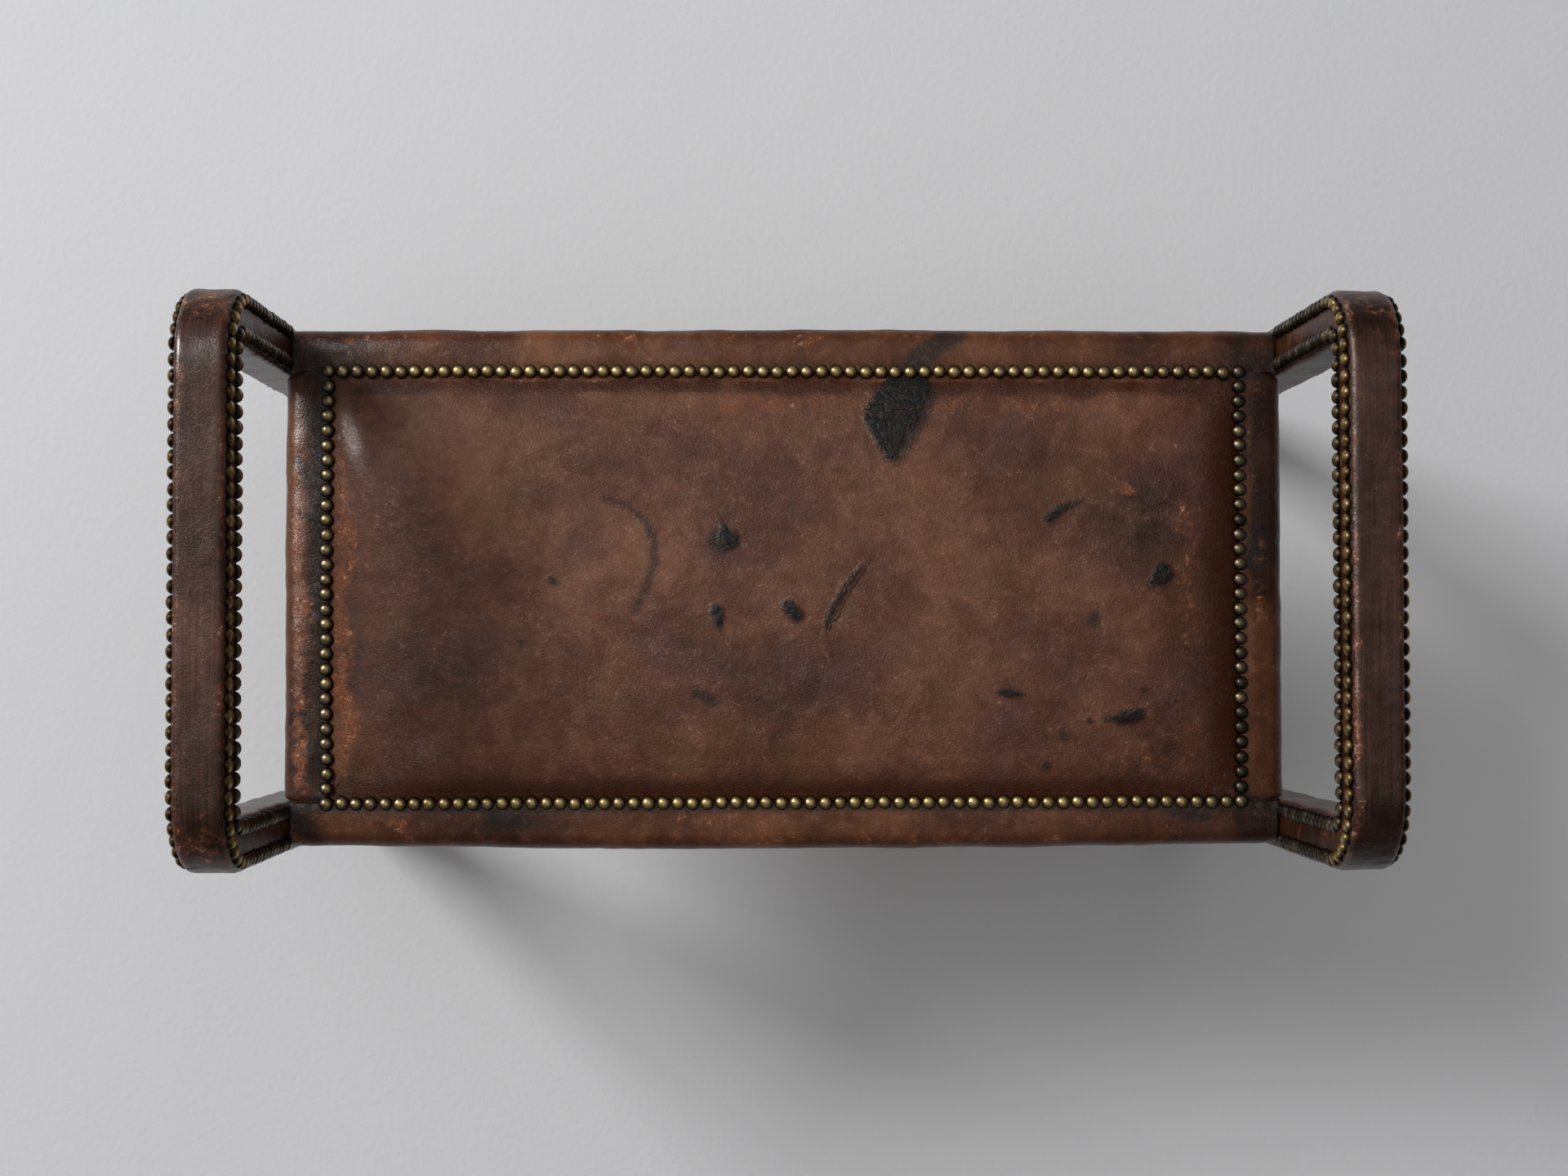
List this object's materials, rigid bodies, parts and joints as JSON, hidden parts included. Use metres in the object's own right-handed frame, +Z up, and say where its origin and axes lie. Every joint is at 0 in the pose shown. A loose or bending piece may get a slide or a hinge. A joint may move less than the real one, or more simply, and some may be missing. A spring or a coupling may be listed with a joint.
{
  "type": "upholstered footstool",
  "caption": "Long leather-bound stool: padded seat between two end frames that rise past it as rounded handles.",
  "frame": {"origin": "on the floor, under the middle of the seat", "axes": "+X along the seat to the right handle, +Y to the back of the seat, +Z up"},
  "size_m": [0.7386, 0.36, 0.565],
  "materials": {
    "beech": "plain, aged",
    "strap_leather": "dark brown, waxed and worn at the edges",
    "strip_leather": "reddish brown, waxed",
    "border_leather": "dark brown, waxed, rubbed redder on the roll",
    "panel_leather": "brown, waxed, marked and darkened by age",
    "wadding": "wool felt",
    "jute_webbing": "woven jute",
    "hessian": "open woven jute",
    "hair_pad": "curled hair",
    "screw_steel": "plain, dulled",
    "antique_brass": "antique, dark in the hollows"
  },
  "bodies": {
    "root": {"left_front_leg": "beech", "left_back_leg": "beech", "left_handle_rail": "beech", "left_outer_strap": "strap_leather", "left_inner_strap": "strap_leather", "left_inner_side_strip": "strip_leather", "left_outer_side_strip": "strip_leather", "right_front_leg": "beech", "right_back_leg": "beech", "right_handle_rail": "beech", "right_outer_strap": "strap_leather", "right_inner_strap": "strap_leather", "right_inner_side_strip": "strip_leather", "right_outer_side_strip": "strip_leather", "front_seat_rail": "beech", "back_seat_rail": "beech", "left_seat_rail": "beech", "left_front_corner_block": "beech", "left_front_side_rail_screw": "screw_steel", "left_front_end_rail_screw": "screw_steel", "left_back_corner_block": "beech", "left_back_side_rail_screw": "screw_steel", "left_back_end_rail_screw": "screw_steel", "right_seat_rail": "beech", "right_front_corner_block": "beech", "right_front_side_rail_screw": "screw_steel", "right_front_end_rail_screw": "screw_steel", "right_back_corner_block": "beech", "right_back_side_rail_screw": "screw_steel", "right_back_end_rail_screw": "screw_steel", "long_webbing_1": "jute_webbing", "long_webbing_2": "jute_webbing", "long_webbing_3": "jute_webbing", "cross_webbing_1": "jute_webbing", "cross_webbing_2": "jute_webbing", "cross_webbing_3": "jute_webbing", "cross_webbing_4": "jute_webbing", "cross_webbing_5": "jute_webbing", "cross_webbing_6": "jute_webbing", "cross_webbing_7": "jute_webbing", "hessian_sheet": "hessian", "seat_pad": "hair_pad", "seat_panel_leather": "panel_leather", "front_border_leather": "border_leather", "front_border_wadding": "wadding", "back_border_leather": "border_leather", "back_border_wadding": "wadding", "left_border_leather": "border_leather", "left_border_wadding": "wadding", "right_border_leather": "border_leather", "right_border_wadding": "wadding"}
  },
  "joints": []
}
